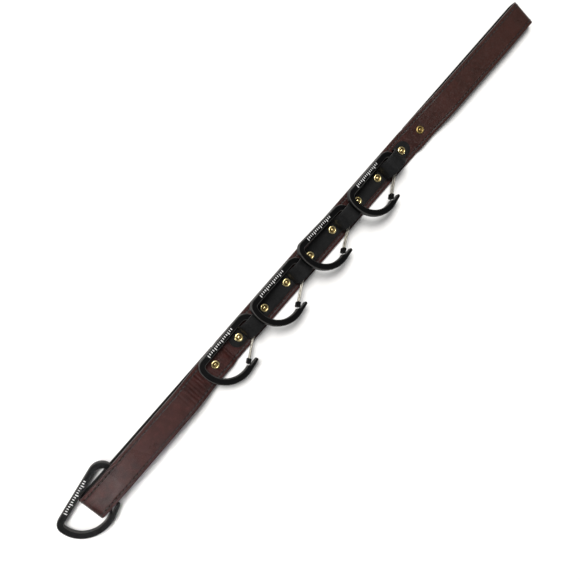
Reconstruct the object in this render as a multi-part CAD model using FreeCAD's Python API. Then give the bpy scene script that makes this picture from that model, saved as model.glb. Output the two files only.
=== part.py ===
"""Leather gear strap: a stitched two-ply strap folded back into a loop at each end, a riveted
keeper strip with four raised loops, and five flat wire-gate carabiners.
Millimetres. X runs along the strap, Y across it, Z up; the origin is the middle of the underside."""
import FreeCAD, Part
import math
import os

# strap: two plies bonded face to face
STRAP_W = 31.75
OUTER_T, LINING_T = 1.9, 1.5
STRAP_T = OUTER_T + LINING_T
TOP_END_X, LOW_END_X = 377.5, -380.5          # outside of the two folds
TOP_GAP, LOW_GAP = 7.0, 10.0                  # clear height inside the two loops
TAIL_PAST_RIVET, TAIL_GAP = 11.5, 0.1

# rivets, counted from the hang-loop end
FIRST_RIVET_X = 180.0
RIVET_PITCHES = (33.5, 44.0, 36.0, 45.5, 39.5, 41.0, 38.0, 43.5, 39.5)
SHANK_R, HEAD_R, HEAD_T, HEAD_INSET = 1.5, 4.6, 1.0, 0.1
BURR_R, BURR_T, PEEN_R = 4.75, 1.3, 1.6

# stitching
STITCH_INSET, STITCH_W, STITCH_DEPTH, GROOVE_W = 4.0, 0.9, 0.45, 1.1

# keeper strip
KEEPER_W, KEEPER_T, KEEPER_PAST_RIVET = 18.5, 2.0, 12.0
HUMP_H, HUMP_ANGLE, HUMP_FOOT = 20.0, 80.0, 7.0
HUMP_FOOT_R, HUMP_CROWN_R = 2.5, 11.2

# carabiner, u towards the narrow end, v towards the gate, w through the plate
PLATE_T, BAR_W, EDGE_CHAMFER = 6.0, 7.4, 0.9
SPINE_V, ARCH_U, ARCH_R = -18.9, 43.0, 14.2
CORNER_R, BOW_R, BOW_V, BOW_U = 11.0, 35.1, -2.7, 5.9
CORNER_V = SPINE_V + CORNER_R
CORNER_U = BOW_U - math.sqrt((BOW_R - CORNER_R) ** 2 - (CORNER_V - BOW_V) ** 2)
ARCH_END = 17.0
TONGUE_T, WIRE_R, WIRE_W, HINGE_HOLE_R = 2.2, 0.9, 2.05, 1.1
GATE_END_V, GATE_END_U = 22.7, 15.6
TIP_W, TIP_L, TIP_T = 4.6, 6.4, 5.6
AXIS_U = ARCH_U + ARCH_R - BAR_W / 2
ARCH_V = SPINE_V + ARCH_R
HINGE_V = ARCH_V + (ARCH_R - BAR_W / 2) * math.cos(math.radians(ARCH_END))
HINGE_U = ARCH_U + (ARCH_R - BAR_W / 2) * math.sin(math.radians(ARCH_END))

# carabiners on the keeper: arch x, side offset, height, tilt and yaw in degrees
AXIS_Z = 8.4
HUNG = ((131.5, -2.45, 13.8, -2.0), (48.0, -3.2, 13.8, -5.0),
        (-32.8, -2.6, 13.8, -2.5), (-116.0, -1.7, 5.0, 0.5))
# carabiner in the lower loop: origin x, y, z and yaw
LOOPED = (-387.5, 3.2, 7.4, 10.5)

Z_UP = FreeCAD.Vector(0, 0, 1)


def vec(x, y, z):
    return FreeCAD.Vector(x, y, z)


def rivet_xs():
    xs = [FIRST_RIVET_X]
    for pitch in RIVET_PITCHES:
        xs.append(xs[-1] - pitch)
    return xs


def rounded_path(corners):
    """Lines and tangent arcs through (x, z, radius) corners."""
    parts, here = [], vec(corners[0][0], 0, corners[0][1])
    for before, at, after in zip(corners, corners[1:], corners[2:]):
        p = vec(at[0], 0, at[1])
        d_in = (p - vec(before[0], 0, before[1])).normalize()
        d_out = (vec(after[0], 0, after[1]) - p).normalize()
        turn = d_in.cross(d_out).y
        half = math.acos(max(-1.0, min(1.0, d_in.dot(d_out)))) / 2
        trim = at[2] * math.tan(half)
        start, end = p - d_in * trim, p + d_out * trim
        left = vec(-d_in.z, 0, d_in.x) * (-1 if turn > 0 else 1)
        centre = start + left * at[2]
        middle = centre + (p - centre).normalize() * at[2]
        parts.append((here, start, None, 0))
        parts.append((start, end, (centre, middle), -1 if turn > 0 else 1))
        here = end
    parts.append((here, vec(corners[-1][0], 0, corners[-1][1]), None, 0))
    return [p for p in parts if (p[1] - p[0]).Length > 1e-4]


def offset_edges(parts, off):
    """The path moved by off towards its left side."""
    edges = []
    for start, end, arc, side in parts:
        if arc is None:
            d = (end - start).normalize()
            n = vec(-d.z, 0, d.x) * off
            edges.append(Part.LineSegment(start + n, end + n).toShape())
        else:
            centre, middle = arc
            pts = []
            for p in (start, middle, end):
                ray = (p - centre)
                pts.append(centre + ray * ((ray.Length - side * off) / ray.Length))
            edges.append(Part.Arc(*pts).toShape())
    return edges


def band(parts, low, high, y_mid, width):
    """A strip of leather following the path between two offsets."""
    a, b = offset_edges(parts, low), offset_edges(parts, high)
    ends = [Part.LineSegment(a[0].Vertexes[0].Point, b[0].Vertexes[0].Point).toShape(),
            Part.LineSegment(a[-1].Vertexes[-1].Point, b[-1].Vertexes[-1].Point).toShape()]
    wire = Part.Wire(Part.__sortEdges__(a + b + ends))
    face = Part.Face(wire)
    face.translate(vec(0, y_mid - width / 2, 0))
    return face.extrude(vec(0, width, 0))


def strap_path():
    """Bond line between the plies, from one tail round both loops to the other tail."""
    low, high = OUTER_T, STRAP_T + LINING_T + TAIL_GAP
    x1, x10 = rivet_xs()[0], rivet_xs()[-1]
    top_r, low_r = TOP_GAP / 2 + LINING_T, LOW_GAP / 2 + LINING_T
    top_x, low_x = TOP_END_X - OUTER_T, LOW_END_X + OUTER_T
    return rounded_path((
        (x1 - TAIL_PAST_RIVET, low, 0),
        (top_x, low, top_r),
        (top_x, low + 2 * top_r + 0.5, top_r),
        (x1 + 150, low + 2 * top_r + 2.2, 90),
        (x1 + 45, low + 2 * top_r + 0.8, 60),
        (x1 + 10, high, 30),
        (x1 - 12, high, 6),
        (x1 - 20, LINING_T, 6),
        (x10 + 20, LINING_T, 6),
        (x10 + 12, high, 6),
        (x10 - 10, high, 30),
        (x10 - 48, low + 2 * low_r + 0.8, 60),
        (x10 - 160, low + 2 * low_r + 3.2, 90),
        (low_x, low + 2 * low_r + 0.7, low_r),
        (low_x, low, low_r),
        (x10 + TAIL_PAST_RIVET, low, 0)))


def keeper_path(xs):
    z = STRAP_T + KEEPER_T / 2
    run = HUMP_H / math.tan(math.radians(HUMP_ANGLE))
    corners = [(xs[1] + KEEPER_PAST_RIVET, z, 0)]
    for k in (1, 3, 5, 7):
        a, b = xs[k] - HUMP_FOOT, xs[k + 1] + HUMP_FOOT
        corners += [(a, z, HUMP_FOOT_R), (a - run, z + HUMP_H, HUMP_CROWN_R),
                    (b + run, z + HUMP_H, HUMP_CROWN_R), (b, z, HUMP_FOOT_R)]
    corners.append((xs[8] - KEEPER_PAST_RIVET, z, 0))
    return rounded_path(corners)


def revolved(points, x):
    """A turned piece from an (r, z) outline about the rivet's axis."""
    pts = [vec(x + r, 0, z) for r, z in points]
    face = Part.Face(Part.makePolygon(pts + pts[:1]))
    return face.revolve(vec(x, 0, 0), Z_UP, 360)


def rivet(x, top):
    """Countersunk head below, shank, peened end standing in the burr."""
    h0, h1 = HEAD_INSET, HEAD_INSET + HEAD_T
    e = top + BURR_T
    return revolved(((0, h0), (HEAD_R - 0.5, h0), (HEAD_R, h0 + 0.4), (HEAD_R, h1 - 0.2), (HEAD_R - 0.3, h1),
                     (SHANK_R, h1), (SHANK_R, e - 0.6), (PEEN_R - 0.1, e - 0.45), (PEEN_R - 0.35, e - 0.1),
                     (PEEN_R - 0.9, e + 0.1), (0, e + 0.15)), x)


def burr(x, top):
    """Dished washer: a rolled rim falling to the shank."""
    e = top + BURR_T
    return revolved(((SHANK_R, top), (BURR_R - 0.3, top), (BURR_R, top + 0.3), (BURR_R - 0.15, top + 0.75),
                     (BURR_R - 0.7, e - 0.12), (BURR_R - 1.3, e), (BURR_R - 1.9, e - 0.1), (SHANK_R + 0.75, e - 0.75),
                     (SHANK_R, e - 0.7)), x)


def plane_pt(v, u):
    return vec(u, -v, 0)


def arc2(cv, cu, r, a0, a1):
    """Arc in the carabiner's plane, angles from +v towards +u."""
    pts = []
    for a in (a0, (a0 + a1) / 2, a1):
        t = math.radians(a)
        pts.append(plane_pt(cv + r * math.cos(t), cu + r * math.sin(t)))
    return Part.Arc(*pts).toShape()


def seg2(p, q):
    return Part.LineSegment(plane_pt(*p), plane_pt(*q)).toShape()


def at(cv, cu, r, a):
    t = math.radians(a)
    return (cv + r * math.cos(t), cu + r * math.sin(t))


def carabiner_plate():
    join = math.degrees(math.atan2(CORNER_U - BOW_U, CORNER_V - BOW_V))
    inner = BOW_R - BAR_W
    nose_a, shelf_a = 13.0, 10.0
    tip_v, tip_u, tip_r = 28.3, 22.6, 1.9
    out_n = at(BOW_V, BOW_U, BOW_R, nose_a)
    in_n = at(BOW_V, BOW_U, inner, shelf_a)
    shelf = (in_n[0] + 2.1, in_n[1] + 1.9)
    edges = [
        arc2(CORNER_V, CORNER_U, CORNER_R, join, -180),
        seg2((SPINE_V, CORNER_U), (SPINE_V, ARCH_U)),
        arc2(ARCH_V, ARCH_U, ARCH_R, 180, ARCH_END),
        arc2(HINGE_V, HINGE_U, BAR_W / 2, ARCH_END, ARCH_END - 180),
        arc2(ARCH_V, ARCH_U, ARCH_R - BAR_W, ARCH_END, 180),
        seg2((SPINE_V + BAR_W, ARCH_U), (SPINE_V + BAR_W, CORNER_U)),
        arc2(CORNER_V, CORNER_U, CORNER_R - BAR_W, -180, join),
        arc2(BOW_V, BOW_U, inner, join, shelf_a),
        seg2(in_n, shelf),
        seg2(shelf, at(tip_v, tip_u, tip_r, 175)),
        arc2(tip_v, tip_u, tip_r, 175, 22),
        seg2(at(tip_v, tip_u, tip_r, 22), out_n),
        arc2(BOW_V, BOW_U, BOW_R, nose_a, join)]
    plate = Part.Face(Part.Wire(Part.__sortEdges__(edges))).extrude(vec(0, 0, PLATE_T))
    rims = [e for e in plate.Edges
            if abs(e.BoundBox.ZMax - e.BoundBox.ZMin) < 1e-6 and e.Length > 3.5]
    plate = plate.makeChamfer(EDGE_CHAMFER, rims)
    plate.translate(vec(0, 0, -PLATE_T / 2))
    hinge = plane_pt(HINGE_V, HINGE_U)
    for side in (-1, 1):
        mill = Part.makeCylinder(6.2, PLATE_T, hinge + vec(0, 0, -PLATE_T / 2))
        mill.translate(vec(0, 0, side * (PLATE_T + TONGUE_T) / 2))
        plate = plate.cut(mill)
    hole = Part.makeCylinder(HINGE_HOLE_R, PLATE_T, hinge - vec(0, 0, PLATE_T / 2))
    return plate.cut(hole)


def gate_direction():
    d = plane_pt(GATE_END_V, GATE_END_U) - plane_pt(HINGE_V, HINGE_U)
    return d.Length, d.normalize()


def rod(a, b, r):
    return Part.makeCylinder(r, (b - a).Length, a, b - a)


def wire_gate():
    """Two strands and the pivot leg that joins them through the hinge hole."""
    length, d = gate_direction()
    hinge = plane_pt(HINGE_V, HINGE_U)
    shape = rod(hinge - vec(0, 0, WIRE_W), hinge + vec(0, 0, WIRE_W), WIRE_R)
    for side in (-1, 1):
        a = hinge + vec(0, 0, side * WIRE_W)
        shape = shape.fuse(rod(a, a + d * (length - TIP_L / 2), WIRE_R))
        shape = shape.fuse(Part.makeSphere(WIRE_R, a))
    return shape.removeSplitter()


def gate_tip():
    """Sleeve closing the free end of the two strands."""
    length, d = gate_direction()
    side = vec(-d.y, d.x, 0)
    end = plane_pt(HINGE_V, HINGE_U) + d * (length - TIP_L / 2)
    a, b = end - side * TIP_W / 2, end + side * TIP_W / 2
    edges = Part.makePolygon([a, b, b + d * TIP_L, a + d * TIP_L, a])
    block = Part.Face(edges).extrude(vec(0, 0, TIP_T))
    block = block.makeFillet(1.3, [e for e in block.Edges if abs(e.BoundBox.ZMax - e.BoundBox.ZMin) > TIP_T / 2])
    block.translate(vec(0, 0, -TIP_T / 2))
    return block


def hang(shape, x, y, z, tilt, yaw, pivot):
    """Put a carabiner piece in place: pivot point first, then yaw, tilt and move."""
    s = shape.copy()
    s.translate(pivot * -1)
    s.rotate(vec(0, 0, 0), vec(0, 0, 1), yaw)
    s.rotate(vec(0, 0, 0), vec(0, 1, 0), tilt)
    s.translate(vec(x, y, z))
    return s


def export(name, shape):
    shape.exportStep("parts/" + name + ".step")


os.makedirs("parts", exist_ok=True)
xs = rivet_xs()
path = strap_path()
outer = band(path, -OUTER_T, 0, 0, STRAP_W)
lining = band(path, 0, LINING_T, 0, STRAP_W)
keeper = band(keeper_path(xs), -KEEPER_T / 2, KEEPER_T / 2, 0, KEEPER_W)

half = KEEPER_W / 2
x_hi, x_lo = xs[1] + KEEPER_PAST_RIVET - half, xs[8] - KEEPER_PAST_RIVET + half
plan = Part.makeBox(x_hi - x_lo, KEEPER_W, 60, vec(x_lo, -half, 0))
for x in (x_hi, x_lo):
    plan = plan.fuse(Part.makeCylinder(half, 60, vec(x, 0, 0)))
keeper = keeper.common(plan)

for side, name in ((1, "left"), (-1, "right")):
    y = side * (STRAP_W / 2 - STITCH_INSET)
    outer = outer.cut(band(path, -OUTER_T - 1.0, -OUTER_T + STITCH_DEPTH, y, GROOVE_W))
    export("stitch_row_" + name, band(path, -OUTER_T + 0.05, -OUTER_T + STITCH_DEPTH, y, STITCH_W))

for n, x in enumerate(xs, 1):
    folded = n in (1, 10)
    top = 2 * STRAP_T + TAIL_GAP if folded else STRAP_T + KEEPER_T
    hole = Part.makeCylinder(SHANK_R, 30, vec(x, 0, -1))
    recess = Part.makeCylinder(HEAD_R + 0.05, HEAD_INSET + HEAD_T + 1, vec(x, 0, -1))
    tool = hole.fuse(recess)
    outer, lining = outer.cut(tool), lining.cut(tool)
    if not folded:
        keeper = keeper.cut(hole)
    export("rivet_%d" % n, rivet(x, top))
    export("burr_%d" % n, burr(x, top))

export("strap_outer_ply", outer)
export("strap_lining_ply", lining)

# the strip in four lengths of one loop each, butted where it lies flat between the loops
cuts = [x_hi + half + 1] + [(xs[k] + xs[k + 1]) / 2 for k in (2, 4, 6)] + [x_lo - half - 1]
for n, (right, left) in enumerate(zip(cuts, cuts[1:]), 1):
    length = Part.makeBox(right - left, KEEPER_W + 2, 60, vec(left, -half - 1, 0))
    export("keeper_strip_%d" % n, keeper.common(length))

pieces = (("carabiner_body", carabiner_plate()), ("wire_gate", wire_gate()), ("gate_tip", gate_tip()))
for base, shape in pieces:
    for n, (x, y, tilt, yaw) in enumerate(HUNG, 1):
        export("%s_%d" % (base, n), hang(shape, x, y, AXIS_Z, tilt, yaw, plane_pt(0, AXIS_U)))
    x, y, z, yaw = LOOPED
    export("%s_5" % base, hang(shape, x, y, z, 0, yaw, vec(0, 0, 0)))
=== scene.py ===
"""Leather gear strap with five carabiners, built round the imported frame."""
import bpy
import bmesh
import math
import random
from mathutils import Matrix, Vector, noise


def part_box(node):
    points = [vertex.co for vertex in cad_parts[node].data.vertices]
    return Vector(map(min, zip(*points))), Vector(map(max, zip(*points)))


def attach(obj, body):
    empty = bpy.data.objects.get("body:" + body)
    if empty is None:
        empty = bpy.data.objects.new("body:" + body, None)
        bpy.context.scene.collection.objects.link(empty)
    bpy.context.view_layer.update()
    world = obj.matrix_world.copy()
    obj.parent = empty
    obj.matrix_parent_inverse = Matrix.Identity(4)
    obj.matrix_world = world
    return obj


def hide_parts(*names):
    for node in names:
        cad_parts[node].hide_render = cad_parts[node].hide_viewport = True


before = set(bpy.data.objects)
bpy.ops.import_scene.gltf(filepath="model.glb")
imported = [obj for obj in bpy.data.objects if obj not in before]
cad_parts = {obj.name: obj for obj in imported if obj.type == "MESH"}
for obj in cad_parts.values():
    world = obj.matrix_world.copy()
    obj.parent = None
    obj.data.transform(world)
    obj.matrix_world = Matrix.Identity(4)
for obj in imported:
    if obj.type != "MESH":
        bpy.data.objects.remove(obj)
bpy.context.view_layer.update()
random.seed(7)
MM = 0.001

# strap, all in millimetres
STRAP_W, OUTER_T, LINING_T = 31.75, 1.9, 1.5
STRAP_T = OUTER_T + LINING_T
TOP_END_X, LOW_END_X, TOP_GAP, LOW_GAP = 377.5, -380.5, 7.0, 10.0
TAIL_PAST_RIVET, TAIL_GAP = 11.5, 0.1
RIVET_X = [180.0]
for pitch in (33.5, 44.0, 36.0, 45.5, 39.5, 41.0, 38.0, 43.5, 39.5):
    RIVET_X.append(RIVET_X[-1] - pitch)
BURR_R = 4.75
STITCH_Y, STITCH_PITCH, STITCH_R = STRAP_W / 2 - 4.0, 5.4, 0.66
KEEPER_W, KEEPER_T, KEEPER_END = 18.5, 2.0, 12.0
HUMP_H, HUMP_ANGLE, HUMP_FOOT, FOOT_R, CROWN_R = 20.0, 80.0, 7.0, 2.5, 11.2
# the path is above this height only in a fold and in the front leg of a loop
FOLD_Z = 4.5
# usual step along a path, and the widest angle between two points of an arc
STRAP_STEP, KEEPER_STEP, ARC_STEP = 1.0, 0.7, math.radians(5)

# carabiner, lying along x in its own plane; a keeper loop holds the first four at AXIS_X
PLATE_T, ARCH_X, ARCH_R, BAR_W = 6.0, 43.0, 14.2, 7.4
AXIS_X = ARCH_X + ARCH_R - BAR_W / 2
KEEPER_AXIS_Z, LOW_CLIP_Z = 8.4, 7.4
# (x, y, z) on the strap, tilt and yaw in degrees, and the x on the plate that goes there
PLACES = [((x, y, KEEPER_AXIS_Z), tilt, yaw, AXIS_X) for x, y, tilt, yaw in
          ((131.5, -2.45, 13.8, -2.0), (48.0, -3.2, 13.8, -5.0),
           (-32.8, -2.6, 13.8, -2.5), (-116.0, -1.7, 5.0, 0.5))]
PLACES.append(((-387.5, 3.2, LOW_CLIP_Z), 0.0, 10.5, 0.0))
# graduation marks on a carabiner: count, first x, pitch, y of their outer end, width, thickness
MARKS, MARK_X, MARK_PITCH, MARK_Y, MARK_W, MARK_T = 15, -9.0, 2.75, 17.2, 1.0, 0.03
LONG_MARK, SHORT_MARK, LONG_EVERY = 3.8, 2.4, 4


# ---------------------------------------------------------------- shapes
def rounded_path(corners, step):
    """Points (x, z, tangent x, tangent z, length so far) along lines and tangent arcs."""
    pts = []

    def add(p, t):
        run = pts[-1][4] + (Vector((pts[-1][0], pts[-1][1])) - p).length if pts else 0.0
        if not pts or run - pts[-1][4] > 1e-3:
            pts.append((p.x, p.y, t.x, t.y, run))

    def line(a, b):
        t = (b - a).normalized()
        n = max(1, round((b - a).length / step))
        for i in range(n + 1):
            add(a.lerp(b, i / n), t)

    here = Vector(corners[0][:2])
    for before, at, after in zip(corners, corners[1:], corners[2:]):
        p = Vector(at[:2])
        d_in = (p - Vector(before[:2])).normalized()
        d_out = (Vector(after[:2]) - p).normalized()
        turn = math.atan2(d_in.x * d_out.y - d_in.y * d_out.x, d_in.dot(d_out))
        trim = at[2] * math.tan(abs(turn) / 2)
        start = p - d_in * trim
        line(here, start)
        side = 1 if turn > 0 else -1
        centre = start + Vector((-d_in.y, d_in.x)) * side * at[2]
        n = max(2, math.ceil(abs(turn) * at[2] / step), math.ceil(abs(turn) / ARC_STEP))
        for i in range(n + 1):
            rot = Matrix.Rotation(turn * i / n, 2)
            add(centre + rot @ (start - centre), rot @ d_in)
        here = p + d_out * trim
    line(here, Vector(corners[-1][:2]))
    return pts


def strap_corners():
    """Corners (x, z, radius) of the line between the plies, from the top tail to the low tail."""
    low, high = OUTER_T, STRAP_T + LINING_T + TAIL_GAP
    x1, x10 = RIVET_X[0], RIVET_X[-1]
    tr, lr = TOP_GAP / 2 + LINING_T, LOW_GAP / 2 + LINING_T
    tx, lx = TOP_END_X - OUTER_T, LOW_END_X + OUTER_T
    return ((x1 - TAIL_PAST_RIVET, low, 0), (tx, low, tr), (tx, low + 2 * tr + 0.5, tr),
            (x1 + 150, low + 2 * tr + 2.2, 90), (x1 + 45, low + 2 * tr + 0.8, 60), (x1 + 10, high, 30),
            (x1 - 12, high, 6), (x1 - 20, LINING_T, 6), (x10 + 20, LINING_T, 6), (x10 + 12, high, 6),
            (x10 - 10, high, 30), (x10 - 48, low + 2 * lr + 0.8, 60), (x10 - 160, low + 2 * lr + 3.2, 90),
            (lx, low + 2 * lr + 0.7, lr), (lx, low, lr), (x10 + TAIL_PAST_RIVET, low, 0))


def keeper_corners():
    """Corners (x, z, radius) of the middle of the keeper strip, with its four raised loops."""
    z = STRAP_T + KEEPER_T / 2
    run = HUMP_H / math.tan(math.radians(HUMP_ANGLE))
    out = [(RIVET_X[1] + KEEPER_END, z, 0)]
    for k in (1, 3, 5, 7):
        a, b = RIVET_X[k] - HUMP_FOOT, RIVET_X[k + 1] + HUMP_FOOT
        out += [(a, z, FOOT_R), (a - run, z + HUMP_H, CROWN_R),
                (b + run, z + HUMP_H, CROWN_R), (b, z, FOOT_R)]
    return out + [(RIVET_X[8] - KEEPER_END, z, 0)]


def smooth(obj, angle=40):
    for p in obj.data.polygons:
        p.use_smooth = True
    obj.data.set_sharp_from_angle(angle=math.radians(angle))


def make(name, verts, faces, uvs=None, angle=40):
    """Mesh object from millimetre vertices and uvs, one per vertex; both are stored in metres."""
    mesh = bpy.data.meshes.new(name)
    mesh.from_pydata([[c * MM for c in v] for v in verts], [], faces)
    mesh.update()
    if uvs:
        layer = mesh.uv_layers.new(name="UVMap")
        for loop in mesh.loops:
            layer.data[loop.index].uv = [c * MM for c in uvs[loop.vertex_index]]
    obj = bpy.data.objects.new(name, mesh)
    bpy.context.scene.collection.objects.link(obj)
    smooth(obj, angle)
    return obj


def section(width, low, high, r_low, r_high, fine):
    """Closed cross-section (y, offset, on): on is -1 or 1 on the low or high face, 0 at the edges."""
    half = width / 2
    ring = []

    def corner(cy, co, r, start):
        for i in range(5):
            a = math.radians(start + 22.5 * i)
            ring.append((cy + r * math.cos(a), co + r * math.sin(a), 0))

    ring += [(y, low, -1) for y in fine if abs(y) < half - r_low - 0.05]
    corner(half - r_low, low + r_low, r_low, -90)
    corner(half - r_high, high - r_high, r_high, 0)
    ring += [(y, high, 1) for y in reversed(fine) if abs(y) < half - r_high - 0.05]
    corner(-half + r_high, high - r_high, r_high, 90)
    corner(-half + r_low, low + r_low, r_low, 180)
    return ring


def band(name, path, ring, shape, squeeze=None):
    """Sweep a cross-section along a path; shape(s, x, y, on, z) pushes the two faces outwards."""
    verts, uvs, faces = [], [], []
    n = len(ring)
    for x, z, tx, tz, s in path:
        w = squeeze(s) if squeeze else 1.0
        for y, off, on in ring:
            d = off + (on * shape(s, x, y * w, on, z) if on else 0.0)
            verts.append((x - tz * d, y * w, z + tx * d))
            uvs.append((s, y * w))
    for i in range(len(path) - 1):
        for j in range(n):
            a, b = i * n + j, i * n + (j + 1) % n
            faces.append((a, b, b + n, a + n))
    faces.append(tuple(range(n)))
    faces.append(tuple(range((len(path) - 1) * n, len(path) * n)))
    obj = make(name, verts, faces, uvs, 50)
    bm = bmesh.new()
    bm.from_mesh(obj.data)
    bmesh.ops.recalc_face_normals(bm, faces=bm.faces)
    bm.to_mesh(obj.data)
    bm.free()
    smooth(obj, 50)
    return obj


def lathe(name, profile, x, base, segments, wobble=0.0):
    """Turned piece about an upright line; profile is (r, z)."""
    verts, faces = [], []
    phase = x * 1.7
    for r, z in profile:
        for k in range(segments):
            a = 2 * math.pi * k / segments
            dz = wobble * noise.noise(Vector((math.cos(a) * r * 0.9 + phase, math.sin(a) * r * 0.9, z)))
            verts.append((x + r * math.cos(a), r * math.sin(a), base + z + dz))
    for i in range(len(profile) - 1):
        for k in range(segments):
            a, b = i * segments + k, i * segments + (k + 1) % segments
            faces.append((a, b, b + segments, a + segments))
    faces.append(tuple(range(segments))[::-1])
    last = (len(profile) - 1) * segments
    faces.append(tuple(range(last, last + segments)))
    return make(name, verts, faces, None, 35)


def round_profile(points):
    """Smooth (r, z) profile through points."""
    per = 5
    out = []
    for i in range(len(points) - 1):
        p0, p1 = Vector(points[max(0, i - 1)]), Vector(points[i])
        p2, p3 = Vector(points[i + 1]), Vector(points[min(len(points) - 1, i + 2)])
        for k in range(per):
            t = k / per
            q = 0.5 * ((2 * p1) + (p2 - p0) * t + (2 * p0 - 5 * p1 + 4 * p2 - p3) * t * t
                       + (3 * p1 - p0 - 3 * p2 + p3) * t ** 3)
            out.append((max(0.02, q.x), q.y))
    out.append((max(0.02, points[-1][0]), points[-1][1]))
    return out


def join(name, objs):
    """One object from several, which are removed."""
    bm = bmesh.new()
    for o in objs:
        bm.from_mesh(o.data)
        bpy.data.objects.remove(o)
    mesh = bpy.data.meshes.new(name)
    bm.to_mesh(mesh)
    bm.free()
    obj = bpy.data.objects.new(name, mesh)
    bpy.context.scene.collection.objects.link(obj)
    smooth(obj)
    return obj


def place(obj, k):
    """From the carabiner's own plane to its place on the strap."""
    (x, y, z), tilt, yaw, pivot = PLACES[k]
    m = (Matrix.Translation(Vector((x, y, z)) * MM) @ Matrix.Rotation(math.radians(tilt), 4, "Y")
         @ Matrix.Rotation(math.radians(yaw), 4, "Z") @ Matrix.Translation(Vector((-pivot, 0, 0)) * MM))
    obj.data.transform(m)
    return obj


# ---------------------------------------------------------------- materials
class Nodes:
    """Short names for building a node material."""

    def __init__(self, name, **shader):
        self.mat = bpy.data.materials.new(name)
        self.mat.use_nodes = True
        self.tree = self.mat.node_tree
        self.bsdf = self.tree.nodes["Principled BSDF"]
        for key, value in shader.items():
            self.bsdf.inputs[key.replace("_", " ")].default_value = value
        self.coord = self.tree.nodes.new("ShaderNodeTexCoord")

    def link(self, a, b):
        self.tree.links.new(a, b)

    def put(self, socket, value):
        if isinstance(value, bpy.types.NodeSocket):
            self.link(value, socket)
        else:
            socket.default_value = value

    def scaled(self, source, scale):
        node = self.tree.nodes.new("ShaderNodeMapping")
        node.inputs["Scale"].default_value = scale
        self.link(self.coord.outputs[source], node.inputs["Vector"])
        return node.outputs["Vector"]

    def noise(self, vector, scale, detail=4.0, rough=0.55, distort=0.0):
        node = self.tree.nodes.new("ShaderNodeTexNoise")
        self.link(vector, node.inputs["Vector"])
        node.inputs["Scale"].default_value = scale
        node.inputs["Detail"].default_value = detail
        node.inputs["Roughness"].default_value = rough
        node.inputs["Distortion"].default_value = distort
        return node.outputs["Fac"]

    def voronoi(self, vector, scale):
        node = self.tree.nodes.new("ShaderNodeTexVoronoi")
        node.feature = "DISTANCE_TO_EDGE"
        self.link(vector, node.inputs["Vector"])
        node.inputs["Scale"].default_value = scale
        return node.outputs["Distance"]

    def math(self, op, a, b=0.0):
        node = self.tree.nodes.new("ShaderNodeMath")
        node.operation = op
        for socket, value in zip(node.inputs, (a, b)):
            self.put(socket, value)
        return node.outputs[0]

    def remap(self, value, lo, hi, out_lo=0.0, out_hi=1.0):
        node = self.tree.nodes.new("ShaderNodeMapRange")
        node.interpolation_type = "SMOOTHSTEP"
        for socket, v in zip(node.inputs, (value, lo, hi, out_lo, out_hi)):
            self.put(socket, v)
        return node.outputs[0]

    def mix(self, fac, a, b):
        node = self.tree.nodes.new("ShaderNodeMix")
        node.data_type = "RGBA"
        # these are the colour sockets
        self.put(node.inputs[0], fac)
        self.put(node.inputs[6], a)
        self.put(node.inputs[7], b)
        return node.outputs[2]

    def bump(self, height, distance, strength=1.0, under=None):
        node = self.tree.nodes.new("ShaderNodeBump")
        node.inputs["Distance"].default_value = distance
        node.inputs["Strength"].default_value = strength
        self.link(height, node.inputs["Height"])
        if under:
            self.link(under, node.inputs["Normal"])
        return node.outputs["Normal"]

    def set(self, name, value):
        self.put(self.bsdf.inputs[name], value)

    def across(self):
        """Distance across the strap from its middle, in millimetres."""
        node = self.tree.nodes.new("ShaderNodeSeparateXYZ")
        self.link(self.coord.outputs["UV"], node.inputs[0])
        return self.math("MULTIPLY", self.math("ABSOLUTE", node.outputs[1]), 1000.0)


def rgb(r, g, b):
    return (r, g, b, 1.0)


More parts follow.
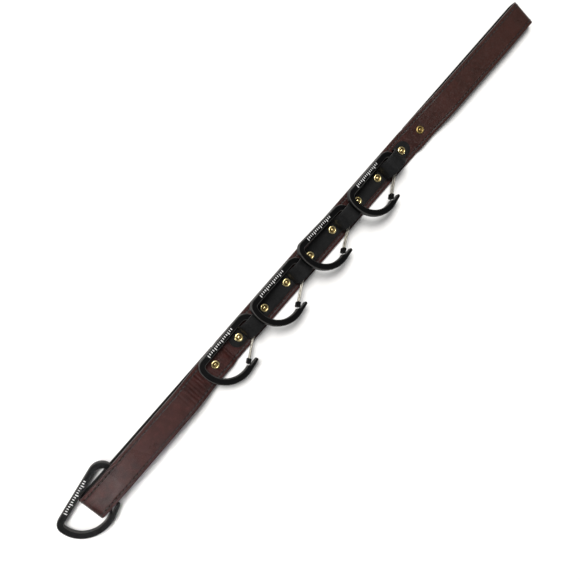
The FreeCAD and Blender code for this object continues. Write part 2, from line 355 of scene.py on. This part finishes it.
def leather(name, dark, mid, light, rough, half, gloss, grain=0.00012, pull=0.5, crease=0.0,
            edge_dark=0.35, shaded_groove=0.0, brown=False):
    """Pored leather, with painted shade along a sewn groove, and a pressed crease where given."""
    m = Nodes(name)
    obj = m.scaled("Object", (1, 1, 1))
    stretched = m.scaled("UV", (1.0, 0.35, 1.0))
    cloud = m.noise(obj, 38.0, 5.0, 0.6, 0.4)
    blotch = m.noise(obj, 190.0, 4.0, 0.6)
    pores = m.voronoi(obj, 1150.0)
    pore_dip = m.remap(pores, 0.0, 0.16)
    fine = m.noise(obj, 2600.0, 3.0, 0.6)
    wrinkle = m.noise(stretched, 420.0, 4.0, 0.55, 0.8)
    colour = m.mix(m.remap(cloud, 0.32, 0.68), dark, mid)
    colour = m.mix(m.math("MULTIPLY", m.remap(blotch, 0.45, 0.75), 0.55), colour, light)
    colour = m.mix(m.math("MULTIPLY", m.math("SUBTRACT", 1.0, pore_dip), 0.28), colour, dark)
    edge = m.remap(m.across(), half - 1.3, half - 0.1)
    colour = m.mix(m.math("MULTIPLY", edge, edge_dark), colour, rgb(0.006, 0.004, 0.004))
    if shaded_groove:
        # painted shade: the colour goes near black along the stitch groove, and towards the dark tone in a
        # wider band beside it
        groove_shade_gap = m.math("ABSOLUTE", m.math("SUBTRACT", m.across(), shaded_groove))
        colour = m.mix(m.remap(groove_shade_gap, 1.05, 0.5, 0.0, 0.75), colour, rgb(0.004, 0.002, 0.002))
        colour = m.mix(m.remap(groove_shade_gap, 2.6, 0.9, 0.0, 0.35), colour, dark)
    if brown:
        place_x = m.tree.nodes.new("ShaderNodeSeparateXYZ")
        m.link(obj, place_x.inputs[0])
        colour = m.mix(m.remap(place_x.outputs[0], 0.02, 0.34, 0.0, 0.55), colour,
                       rgb(0.0300, 0.0105, 0.0062))
    m.set("Base Color", colour)
    r = m.math("ADD", rough, m.math("MULTIPLY", m.math("SUBTRACT", cloud, 0.5), 0.22))
    r = m.math("ADD", r, m.math("MULTIPLY", m.math("SUBTRACT", 1.0, pore_dip), 0.12))
    if brown:
        r = m.math("SUBTRACT", r, m.remap(place_x.outputs[0], -0.27, -0.325, 0.0, 0.08))
    m.set("Roughness", r)
    m.set("Specular IOR Level", gloss)
    n = m.bump(pore_dip, grain, 0.55)
    n = m.bump(fine, grain * 0.4, 0.35, n)
    n = m.bump(wrinkle, grain * 2.2, pull, n)
    if crease:
        line = m.math("ABSOLUTE", m.math("SUBTRACT", m.across(), crease))
        n = m.bump(m.remap(line, 0.0, 0.45), 0.0003, 0.9, n)
    m.set("Normal", n)
    return m.mat


def metal(name, colour, dull, rough, scratch=0.06, grime=0.3):
    """Bare metal, clouded with a duller colour and finely scratched."""
    m = Nodes(name, Metallic=1.0)
    obj = m.scaled("Object", (1, 1, 1))
    cloud = m.noise(obj, 260.0, 5.0, 0.6, 0.5)
    lines = m.noise(m.scaled("Object", (1.0, 6.0, 2.0)), 900.0, 3.0, 0.7)
    m.set("Base Color", m.mix(m.math("MULTIPLY", m.remap(cloud, 0.45, 0.72), grime), colour, dull))
    m.set("Roughness", m.math("ADD", rough, m.math("MULTIPLY", m.remap(lines, 0.35, 0.7), 0.16)))
    m.set("Normal", m.bump(lines, 0.00005, scratch))
    return m.mat


def coating(name, colour, rough):
    """Painted metal, paler where the surface slopes, which is along the chamfers: a painted highlight where
    they catch light, broken up by a little rubbed wear.
    """
    m = Nodes(name)
    obj = m.scaled("Object", (1, 1, 1))
    fine = m.noise(obj, 3200.0, 2.0, 0.5)
    cloud = m.noise(obj, 120.0, 4.0, 0.6)
    worn = m.noise(obj, 420.0, 5.0, 0.65)
    split = m.tree.nodes.new("ShaderNodeSeparateXYZ")
    m.link(m.coord.outputs["Normal"], split.inputs[0])
    slope = m.math("ABSOLUTE", split.outputs[2])
    # painted highlight on the chamfers, picked out by the slope of the surface and broken up by rubbed wear
    edge = m.math("MULTIPLY", m.remap(slope, 0.42, 0.60), m.remap(slope, 0.93, 0.84))
    edge = m.math("MULTIPLY", edge, m.remap(worn, 0.20, 0.60, 0.25, 0.8))
    m.set("Base Color", m.mix(edge, m.mix(m.remap(worn, 0.62, 0.80), colour, rgb(0.010, 0.010, 0.010)),
                              rgb(0.060, 0.058, 0.056)))
    m.set("Roughness", m.math("ADD", rough, m.math("MULTIPLY", cloud, 0.14)))
    m.set("Normal", m.bump(fine, 0.00004, 0.10))
    m.set("Specular IOR Level", 0.11)
    return m.mat


def thread():
    m = Nodes("waxed thread", Roughness=0.5)
    twist = m.noise(m.scaled("Object", (1, 1, 1)), 3000.0, 2.0)
    m.set("Base Color", m.mix(twist, rgb(0.0010, 0.0007, 0.0007), rgb(0.0040, 0.0024, 0.0022)))
    m.set("Normal", m.bump(twist, 0.0001, 0.5))
    return m.mat


def worn_print():
    m = Nodes("worn white print", Roughness=0.55)
    wear = m.noise(m.scaled("Object", (1, 1, 1)), 1500.0, 4.0, 0.7)
    m.set("Base Color", m.mix(m.remap(wear, 0.5, 0.62), rgb(0.72, 0.72, 0.72), rgb(0.09, 0.09, 0.09)))
    return m.mat


OXBLOOD = leather("oxblood leather", rgb(0.0175, 0.0042, 0.0034), rgb(0.0370, 0.0088, 0.0072),
                  rgb(0.0680, 0.0190, 0.0160), 0.30, STRAP_W / 2, shaded_groove=STITCH_Y, gloss=0.26, brown=True)
LINING = leather("black lining leather", rgb(0.0022, 0.0020, 0.0020), rgb(0.0048, 0.0042, 0.0042),
                 rgb(0.0100, 0.0085, 0.0080), 0.50, STRAP_W / 2, edge_dark=0.0, gloss=0.14)
KEEPER = leather("black strip leather", rgb(0.0045, 0.0046, 0.0048), rgb(0.0072, 0.0074, 0.0078),
                 rgb(0.0125, 0.0128, 0.0135), 0.38, KEEPER_W / 2, grain=0.00007, pull=0.25,
                 crease=KEEPER_W / 2 - 1.1, edge_dark=0.0, gloss=0.15)
BRASS = metal("brass", rgb(0.86, 0.72, 0.36), rgb(0.52, 0.36, 0.12), 0.22, scratch=0.03)
DULL_BRASS = metal("dull brass", rgb(0.44, 0.32, 0.12), rgb(0.20, 0.13, 0.045), 0.34, scratch=0.05,
                   grime=0.7)
# painted shade: a dark brass that stands in for the shade inside a burr's dish
BRASS_DISH_SHADE = metal("brass with painted shade in the recess", rgb(0.16, 0.105, 0.035), rgb(0.05, 0.032, 0.012), 0.42, grime=0.8)
STEEL = metal("gate steel", rgb(0.30, 0.285, 0.25), rgb(0.12, 0.11, 0.095), 0.30, scratch=0.0, grime=0.4)
PLATE = coating("matte black plate", rgb(0.0022, 0.0022, 0.0024), 0.34)
TIP = coating("black tip", rgb(0.0028, 0.0028, 0.0028), 0.40)
THREAD = thread()
PRINT = worn_print()


def finish(obj, material, slot, body, *nodes):
    """Give a piece its material and body, and hide the nodes that it replaces; the slot argument is not
    used.
    """
    obj.data.materials.clear()
    obj.data.materials.append(material)
    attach(obj, body)
    if nodes:
        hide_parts(*nodes)
    return obj


# ---------------------------------------------------------------- strap
path = rounded_path(strap_corners(), STRAP_STEP)
LENGTH = path[-1][4]
x1, x10 = RIVET_X[0], RIVET_X[-1]
# where the path passes from a rear leg, round a fold, to the front
FRONT = (next(p[4] for p in path if p[1] > FOLD_Z), next(p[4] for p in reversed(path) if p[1] > FOLD_Z))
# depth and width of the seam channel and its holes, and the ridge beside it
SEAM_DEEP, SEAM_W, HOLE_DEEP, HOLE_W, HOLE_L = 0.30, 0.55, 0.20, 0.5, 0.13
RIDGE_H, RIDGE_OFF, RIDGE_W = 0.07, 1.1, 0.45
# creases across the strap, either side of the last rivet, each with a lip beside its furrow
CREASE_ABOVE, CREASE_BELOW, CREASE_NEAR, CREASE_W = 52.0, 54.0, 5, 0.8
LIP, LIP_OFF, LIP_W = 0.35, 1.7, 0.9
# how far a burr presses its leather in, over what distance that fades, and where it ends
BURR_DENT, BURR_FADE, BURR_NEAR = 0.22, 1.6, 10
SWELL = 0.06
# where the path is below this, only the front's grain face may swell, and the rest only sinks
PRESSED_Z = STRAP_T + 0.2
CREASES = []
cx = x10 + CREASE_ABOVE
while cx > x10 - CREASE_BELOW:
    CREASES.append((cx, random.uniform(0.35, 0.90), random.uniform(0, 50)))
    cx -= random.uniform(2.6, 5.6)


def strap_face(s, x, y, on, z):
    """Outward push of the grain face (-1) or the lining's face (1), in millimetres."""
    up = FRONT[0] < s < FRONT[1]
    d = 0.0
    gap = abs(abs(y) - STITCH_Y)
    beat = (s / STITCH_PITCH) % 1.0
    beat = min(beat, 1 - beat)
    d -= (SEAM_DEEP * math.exp(-(gap / SEAM_W) ** 2)
          + HOLE_DEEP * math.exp(-(gap / HOLE_W) ** 2 - (beat / HOLE_L) ** 2))
    if on == -1 and up:
        d += RIDGE_H * math.exp(-((gap - RIDGE_OFF) / RIDGE_W) ** 2)
        for c, deep, seed in CREASES:
            if abs(x - c) < CREASE_NEAR:
                wander = 1.5 * noise.noise(Vector((y * 0.10, seed, 0.0)))
                reach = 0.5 + 0.9 * noise.noise(Vector((y * 0.07, seed, 7.0)))
                off_line = x - c - wander
                furrow = math.exp(-(off_line / CREASE_W) ** 2)
                lip = LIP * math.exp(-((off_line - LIP_OFF) / LIP_W) ** 2)
                d -= deep * max(0.0, min(1.0, reach)) * (furrow - lip)
        for rx in (x1, x10):
            r = math.hypot(x - rx, y)
            if r < BURR_NEAR:
                d -= BURR_DENT * math.exp(-max(0.0, r - BURR_R) / BURR_FADE)
    d += SWELL * noise.noise(Vector((s * 0.045, y * 0.10, on * 5.0)))
    if z < PRESSED_Z and not (on == -1 and up):
        d = min(d, 0.0)
    return d


fine = sorted(set([round(-15.2 + 1.0 * i, 2) for i in range(31)]
                  + [side * (STITCH_Y + 0.28 * k) for side in (1, -1) for k in range(-6, 7)]))
outer = band("strap_outer", path, section(STRAP_W, -OUTER_T, 0.0, 0.55, 0.05, fine),
             lambda s, x, y, on, z: strap_face(s, x, y, on, z) if on == -1 else 0.0)
finish(outer, OXBLOOD, "oxblood_leather", "strap", "strap_outer_ply")
lining = band("strap_lining", path, section(STRAP_W, 0.0, LINING_T, 0.05, 0.45, fine),
              lambda s, x, y, on, z: strap_face(s, x, y, on, z) if on == 1 else 0.0)
finish(lining, LINING, "black_lining", "strap", "strap_lining_ply")


def at(path, s):
    """(x, z, tangent x, tangent z) at length s along a path."""
    lo, hi = 0, len(path) - 1
    while hi - lo > 1:
        mid = (lo + hi) // 2
        lo, hi = (mid, hi) if path[mid][4] < s else (lo, mid)
    a, b = path[lo], path[hi]
    f = (s - a[4]) / max(1e-6, b[4] - a[4])
    return [a[i] + (b[i] - a[i]) * f for i in range(4)]


# how deep a stitch is sunk in the upper grain face, in a rear leg's, and in the lining's face
SUNK, SUNK_UNDER, SUNK_INSIDE = 0.14, 0.46, 0.16


def stitches(name, y):
    """Lock stitches in the groove of the grain face, and on the lining inside the loops."""
    verts, faces = [], []
    rings, segs = 7, 8
    s = STITCH_PITCH * 1.5
    while s < LENGTH - STITCH_PITCH * 1.2:
        x, z, tx, tz = at(path, s)
        up = FRONT[0] < s < FRONT[1]
        places = [(-OUTER_T, -1, -SUNK if up or z > FOLD_Z else -SUNK_UNDER)]
        if (x > x1 + 25 or x < x10 - 60) and abs(tz) < 0.6:
            places.append((LINING_T, 1, -SUNK_INSIDE))
        for off, side, lift in places:
            base = len(verts)
            slant = random.uniform(-0.10, 0.10)
            half = STITCH_PITCH * 0.37
            for i in range(rings):
                a = math.pi * (i + 0.5) / rings
                along, r = -half * math.cos(a), STITCH_R * math.sin(a) ** 0.45
                sag = -0.28 * (1 - math.sin(a) ** 0.7)
                px, pz, ptx, ptz = at(path, s + along)
                for k in range(segs):
                    b = 2 * math.pi * k / segs
                    d = off + side * (lift + sag + 0.8 * r * math.sin(b))
                    verts.append((px - ptz * d, y + slant * along + r * math.cos(b), pz + ptx * d))
            for i in range(rings - 1):
                for k in range(segs):
                    a, b = base + i * segs + k, base + i * segs + (k + 1) % segs
                    faces.append((a, b, b + segs, a + segs))
            faces.append(tuple(range(base, base + segs))[::-1])
            last = base + (rings - 1) * segs
            faces.append(tuple(range(last, last + segs)))
        s += STITCH_PITCH
    return make(name, verts, faces, None, 60)


finish(stitches("stitches_left", STITCH_Y), THREAD, "thread", "strap", "stitch_row_left")
finish(stitches("stitches_right", -STITCH_Y), THREAD, "thread", "strap", "stitch_row_right")

# ---------------------------------------------------------------- keeper strip
kpath = rounded_path(keeper_corners(), KEEPER_STEP)
KLEN = kpath[-1][4]
# the dent under a burr, the wrinkles up a loop's sides, and the least share of the width at an end
KEEPER_DENT, KEEPER_FADE, KEEPER_NEAR, FLAT_H = 0.16, 1.3, 9, 2.5
WRINKLE_DEEP, WRINKLE_LOW, WRINKLE_HIGH, LEAST_END = 0.10, 0.5, 9, 0.12


def keeper_face(s, x, y, on, z):
    """Outward push of the strip's upper face, in millimetres; the one below stays plain."""
    if on != -1:
        return 0.0
    d = 0.05 * noise.noise(Vector((s * 0.07, y * 0.16, 2.0)))
    for rx in RIVET_X[1:9]:
        r = math.hypot(x - rx, y)
        if r < KEEPER_NEAR and z < STRAP_T + FLAT_H:
            d -= KEEPER_DENT * math.exp(-max(0.0, r - BURR_R) / KEEPER_FADE)
    foot = z - STRAP_T - KEEPER_T / 2
    if WRINKLE_LOW < foot < WRINKLE_HIGH:
        wander = noise.noise(Vector((y * 0.12, x * 0.05, 3.0)))
        d -= WRINKLE_DEEP * max(0.0, math.sin(s * 2.3 + 2.2 * wander)) ** 4
    return d


def keeper_end(s):
    """Share of the full width at length s, which rounds the two ends."""
    r = KEEPER_W / 2
    near = min(s, KLEN - s)
    return 1.0 if near > r else max(LEAST_END, math.sqrt(max(0.0, 1 - ((r - near) / r) ** 2)))


kfine = [round(-8.6 + 0.6 * i, 2) for i in range(30)]
kring = section(KEEPER_W, -KEEPER_T / 2, KEEPER_T / 2, 0.5, 0.15, kfine)
# the strip's path runs from +x to -x, so its low side is the one that faces up
keeper = band("keeper", kpath, kring, keeper_face, keeper_end)
finish(keeper, KEEPER, "keeper_leather", "strap", *["keeper_strip_%d" % n for n in range(1, 5)])

# ---------------------------------------------------------------- rivets
# (radius, height) profiles: the dished burr, the peened end over it, and head and shank below
BURR = round_profile([(1.75, 0.10), (4.35, 0.0), (4.74, 0.28), (4.70, 0.72), (4.36, 1.08), (3.80, 1.28),
                      (3.25, 1.22), (2.95, 0.92), (2.55, 0.42), (2.10, 0.22), (1.60, 0.20)])
DOME = round_profile([(1.35, 0.10), (1.42, 0.62), (1.50, 0.92), (1.38, 1.18), (1.00, 1.36), (0.45, 1.44),
                      (0.03, 1.45)])
HEAD = [(0.02, 0.1), (4.0, 0.1), (4.45, 0.22), (4.6, 0.5), (4.6, 0.9), (4.3, 1.1), (1.3, 1.12)]
# the shank ends inside the dome; the dish of a burr is painted darker as shade, within this radius and
# above this height
SHANK_R, SHANK_TOP, AXIS_R, SHADE_DISH_R, SHADE_DISH_LOW = 1.3, 0.4, 0.02, 3.05, 0.15
for i, rx in enumerate(RIVET_X, 1):
    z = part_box("burr_%d" % i)[0][2] / MM
    brass = DULL_BRASS if i == 1 else BRASS
    ring = lathe("burr_ring_%d" % i, BURR, rx, z, 72)
    finish(ring, brass, "brass", "strap", "burr_%d" % i)
    # painted shade: faces in the burr's dish take the dark brass
    ring.data.materials.append(BRASS_DISH_SHADE)
    for p in ring.data.polygons:
        c = p.center / MM
        if math.hypot(c.x - rx, c.y) < SHADE_DISH_R and c.z > z + SHADE_DISH_LOW:
            p.material_index = 1
    dome = lathe("rivet_end_%d" % i, DOME, rx, z, 44, 0.09)
    shank = lathe("shank", HEAD + [(SHANK_R, z + SHANK_TOP), (AXIS_R, z + SHANK_TOP)], rx, 0.0, 48)
    finish(join("rivet_solid_%d" % i, [dome, shank]), brass, "brass", "strap", "rivet_%d" % i)


# ---------------------------------------------------------------- carabiners
def paint(name, material):
    """Give a node of the frame this material in every slot."""
    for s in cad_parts[name].material_slots:
        s.material = material


def graduation(name):
    """Plain marks along a carabiner's straight side, as thin as paint."""
    verts, faces = [], []
    half, low = MARK_W / 2, PLATE_T / 2
    for j in range(MARKS):
        x, tall = MARK_X + MARK_PITCH * j, SHORT_MARK if j % LONG_EVERY else LONG_MARK
        a = len(verts)
        for dx, dy in ((-half, 0.0), (half, 0.0), (half, tall), (-half, tall)):
            for t in (0.0, MARK_T):
                verts.append((x + dx, MARK_Y - dy, low + t))
        faces += [(a + 1, a + 3, a + 5, a + 7), (a, a + 6, a + 4, a + 2), (a, a + 2, a + 3, a + 1),
                  (a + 2, a + 4, a + 5, a + 3), (a + 4, a + 6, a + 7, a + 5), (a + 6, a, a + 1, a + 7)]
    return make(name, verts, faces)


for k in range(5):
    n = k + 1
    paint("carabiner_body_%d" % n, PLATE)
    paint("wire_gate_%d" % n, STEEL)
    paint("gate_tip_%d" % n, TIP)
    marks = place(graduation("scale_marks_%d" % n), k)
    marks.data.materials.append(PRINT)
    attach(marks, "carabiner_%d" % n)

# ---------------------------------------------------------------- floor, light, camera
def lamp(name, place_at, aim, size, watts, colour=(1, 1, 1), spread=180):
    light = bpy.data.lights.new(name, "AREA")
    light.shape, light.energy, light.color = "RECTANGLE", watts, colour
    light.size, light.size_y = size
    light.spread = math.radians(spread)
    obj = bpy.data.objects.new(name, light)
    obj.location = place_at
    obj.rotation_euler = (Vector(aim) - Vector(place_at)).to_track_quat("-Z", "Y").to_euler()
    bpy.context.scene.collection.objects.link(obj)


floor_mesh = bpy.data.meshes.new("floor")
FAR = 30
floor_mesh.from_pydata([(-FAR, -FAR, 0), (FAR, -FAR, 0), (FAR, FAR, 0), (-FAR, FAR, 0)], [], [(0, 1, 2, 3)])
floor = bpy.data.objects.new("floor", floor_mesh)
bpy.context.scene.collection.objects.link(floor)
floor_nodes = Nodes("pale floor", Roughness=0.75)
speck = floor_nodes.noise(floor_nodes.scaled("Object", (1, 1, 1)), 60.0, 3.0)
floor_nodes.set("Base Color", floor_nodes.mix(speck, rgb(0.86, 0.86, 0.86), rgb(0.89, 0.89, 0.89)))
floor_nodes.bsdf.inputs["Specular IOR Level"].default_value = 0.2
floor_mesh.materials.append(floor_nodes.mat)

WARM = (1.0, 0.985, 0.96)
sun = bpy.data.lights.new("sun", "SUN")
sun.energy, sun.angle, sun.color = 3.1, math.radians(26), WARM
sun_obj = bpy.data.objects.new("sun", sun)
sun_obj.rotation_euler = Vector((-0.06, -0.62, -1.15)).to_track_quat("-Z", "Y").to_euler()
bpy.context.scene.collection.objects.link(sun_obj)
lamp("key", (0.06, 0.62, 1.15), (0.0, 0.0, 0.0), (1.2, 0.42), 5.0, WARM)
lamp("end", (-1.15, 0.30, 0.50), (-0.15, 0.0, 0.0), (0.25, 0.35), 4.5)
lamp("fold", (-0.655, -0.193, 0.945), (-0.342, 0.0, 0.018), (0.05, 0.14), 0.018, spread=16)
world = bpy.data.worlds.new("studio")
world.use_nodes = True
world.node_tree.nodes["Background"].inputs["Color"].default_value = rgb(1.0, 1.0, 1.0)
world.node_tree.nodes["Background"].inputs["Strength"].default_value = 0.16
bpy.context.scene.world = world
bpy.context.scene.view_settings.view_transform = "Standard"

cam = bpy.data.cameras.new("camera")
cam.sensor_width, cam.lens = 36.0, 39.277241
cam.clip_start, cam.clip_end = 0.01, 20.0
camera = bpy.data.objects.new("camera", cam)
# where the camera stands, worked out from the strap's straight edges and its rivets
right, down = Vector((0.6509, -0.7216, 0.2360)), Vector((-0.7493, -0.6605, 0.0472))
ahead = Vector((0.1218, -0.2076, -0.9706))
turn = Matrix((right, -down, -ahead)).transposed()
camera.matrix_world = Matrix.Translation(Vector((-150.25, 139.87, 699.96)) * MM) @ turn.to_4x4()
bpy.context.scene.collection.objects.link(camera)
bpy.context.scene.camera = camera
